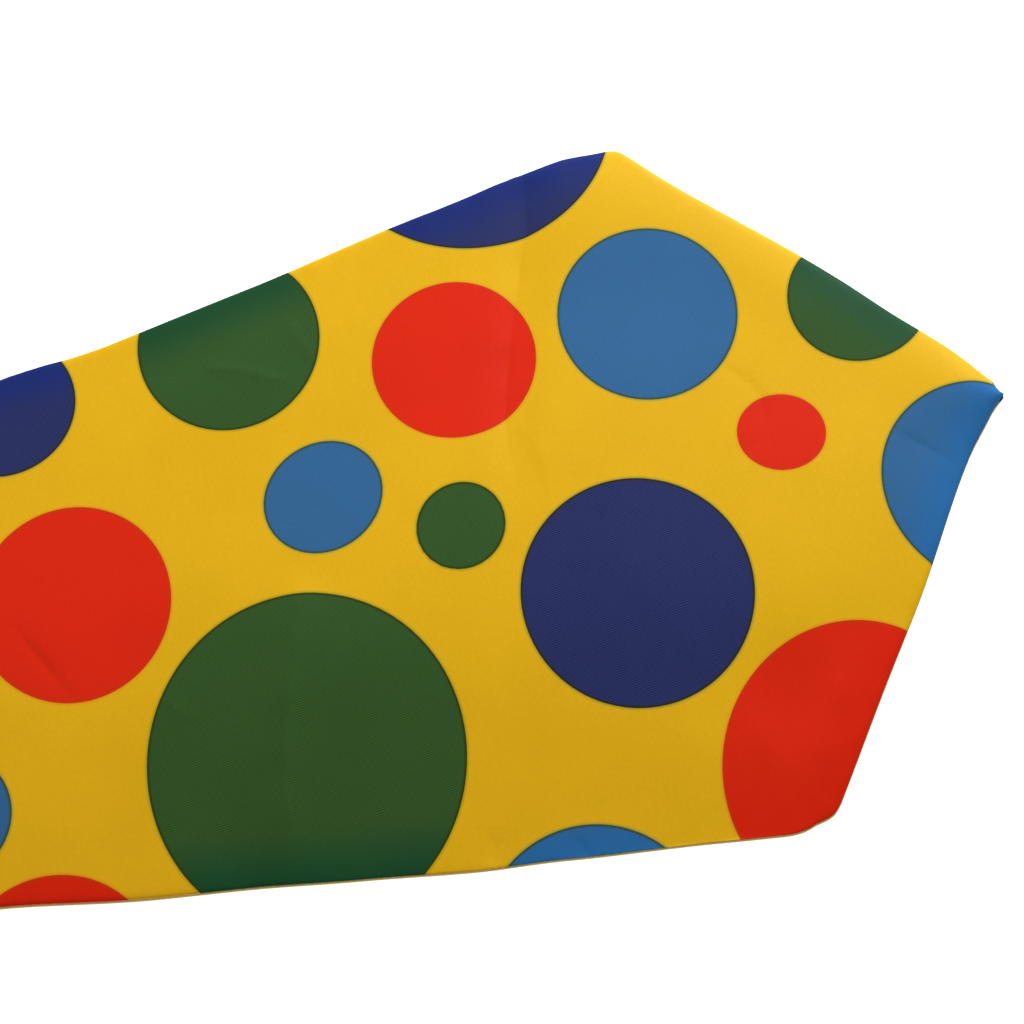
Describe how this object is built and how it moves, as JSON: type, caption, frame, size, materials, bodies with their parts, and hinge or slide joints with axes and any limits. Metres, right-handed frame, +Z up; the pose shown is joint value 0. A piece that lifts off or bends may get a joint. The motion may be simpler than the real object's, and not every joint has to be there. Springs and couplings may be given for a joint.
{
  "type": "clown necktie",
  "caption": "Jumbo polka-dot clown necktie, ready knotted, on an elastic neck loop, laid flat with its front up.",
  "frame": {"origin": "middle of the tie's footprint on the surface it lies on", "axes": "+Y along the tie from its point to the far end of the neck loop, +Z up out of the printed front, +X across"},
  "size_m": [0.1939, 0.7484, 0.023],
  "materials": {
    "printed_twill": "yellow polyester twill printed with red, green, navy and blue dots",
    "plain_back_cloth": "plain pale yellow polyester cloth",
    "white_elastic": "white woven elastic tape"
  },
  "bodies": {
    "root": {"blade_front": "printed_twill", "blade_back": "plain_back_cloth", "knot": "printed_twill", "neck_band": "white_elastic"}
  },
  "joints": []
}
